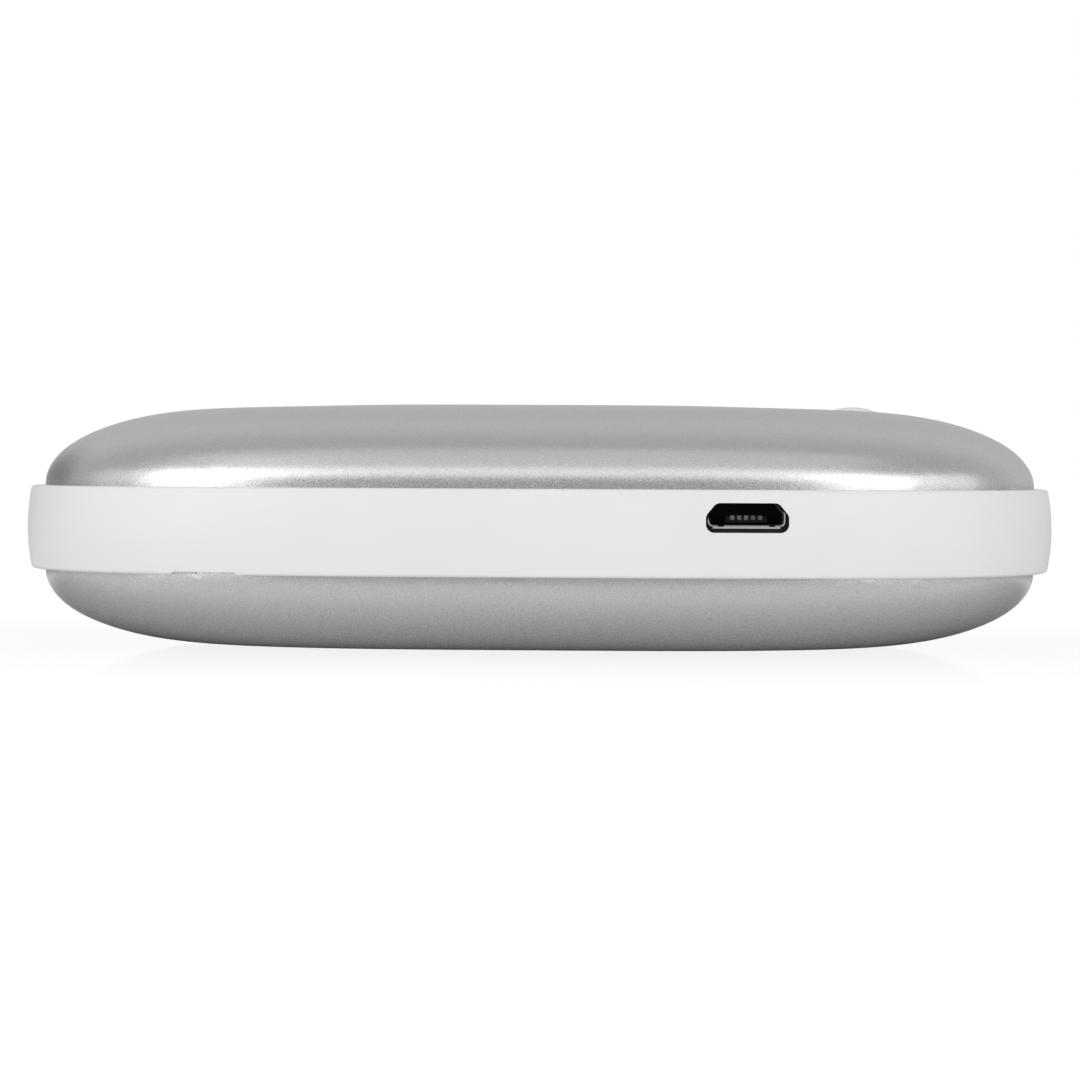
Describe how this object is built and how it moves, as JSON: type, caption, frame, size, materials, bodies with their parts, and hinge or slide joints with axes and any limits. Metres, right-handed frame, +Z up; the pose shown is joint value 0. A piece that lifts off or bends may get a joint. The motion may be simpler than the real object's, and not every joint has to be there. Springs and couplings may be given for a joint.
{
  "type": "mobile hotspot",
  "caption": "Pebble-shaped battery-powered mobile hotspot with two domed metal shells, a white middle band, a micro-USB socket, a domed power button and a SIM tray.",
  "frame": {"origin": "centre of the flat that it rests on, under the middle of the body", "axes": "+X along the long side towards the button, +Y towards the back with the SIM tray, +Z up; the micro-USB socket faces -Y"},
  "size_m": [0.1046, 0.065, 0.025],
  "materials": {
    "shell_metal": "bead-blasted silver, fine speckle",
    "band_white": "satin white",
    "button_white": "smooth white",
    "frame_plastic": "moulded, fine texture",
    "adhesive": "black foam tape",
    "screw_steel": "zinc plated",
    "circuit_board": "green solder mask",
    "chip_black": "moulded epoxy",
    "shield_steel": "stamped tin plate",
    "thermal_pad": "soft pad",
    "spreader_aluminium": "rolled sheet",
    "antenna_ceramic": "fired ceramic",
    "socket_steel": "nickel-plated, formed",
    "socket_black": "moulded",
    "contact_gold": "gold plated",
    "contact_nickel": "nickel plated, worn",
    "card_plastic": "plain card",
    "plunger_plastic": "moulded",
    "antenna_film": "copper on film",
    "battery_wrap": "foil pouch",
    "foam": "closed-cell foam",
    "connector_white": "moulded nylon",
    "lead_red": "insulated wire",
    "lead_yellow": "insulated wire",
    "lead_black": "insulated wire",
    "led_body": "encapsulated",
    "guide_clear": "clear acrylic",
    "ribbon_film": "polyimide film"
  },
  "bodies": {
    "housing": {"top_shell": "shell_metal", "bottom_shell": "shell_metal", "band": "band_white", "mid_frame": "frame_plastic", "upper_adhesive": "adhesive", "lower_adhesive": "adhesive", "frame_screws": "screw_steel", "top_carrier": "frame_plastic", "main_board": "circuit_board", "modem_chips": "chip_black", "wifi_chips": "chip_black", "board_chips": "chip_black", "modem_shield": "shield_steel", "wifi_shield": "shield_steel", "thermal_pad": "thermal_pad", "heat_spreader": "spreader_aluminium", "wifi_antenna": "antenna_ceramic", "usb_socket_shell": "socket_steel", "usb_socket_insert": "socket_black", "usb_socket_contacts": "contact_nickel", "sim_reader": "shield_steel", "sim_contacts": "contact_gold", "reset_switch": "chip_black", "main_antenna": "antenna_film", "diversity_antenna": "antenna_film", "antenna_springs": "contact_gold", "battery_cell": "battery_wrap", "battery_guard_board": "circuit_board", "battery_pad": "foam", "battery_header": "connector_white", "battery_plug": "connector_white", "battery_lead_red": "lead_red", "battery_lead_yellow": "lead_yellow", "battery_lead_black": "lead_black", "button_board": "circuit_board", "button_board_screws": "screw_steel", "power_switch": "shield_steel", "status_leds": "led_body", "light_guide": "guide_clear", "ribbon_sockets": "connector_white", "ribbon_cable": "ribbon_film"},
    "button": {"power_button": "button_white"},
    "switch_plunger": {"power_switch_plunger": "plunger_plastic"},
    "tray": {"sim_tray": "band_white", "sim_card": "card_plastic"},
    "reset_rod": {"reset_plunger": "plunger_plastic"}
  },
  "joints": [
    {"name": "button_press", "type": "slide", "parent": "housing", "child": "button", "axis": [0, 0, -1], "range_m": [0, 0.0003], "stiffness_N_per_m": 800, "springref_m": -0.0001},
    {"name": "switch_press", "type": "slide", "parent": "housing", "child": "switch_plunger", "axis": [0, 0, -1], "range_m": [0, 0.0003]},
    {"name": "tray_slide", "type": "slide", "parent": "housing", "child": "tray", "axis": [0, 1, 0], "range_m": [0, 0.02]},
    {"name": "reset_press", "type": "slide", "parent": "housing", "child": "reset_rod", "axis": [0, -1, 0], "range_m": [0, 0.00025], "stiffness_N_per_m": 600, "springref_m": -0.0001}
  ],
  "couplings": [
    {"joint": "switch_press", "follows": "button_press", "ratio": 1}
  ]
}
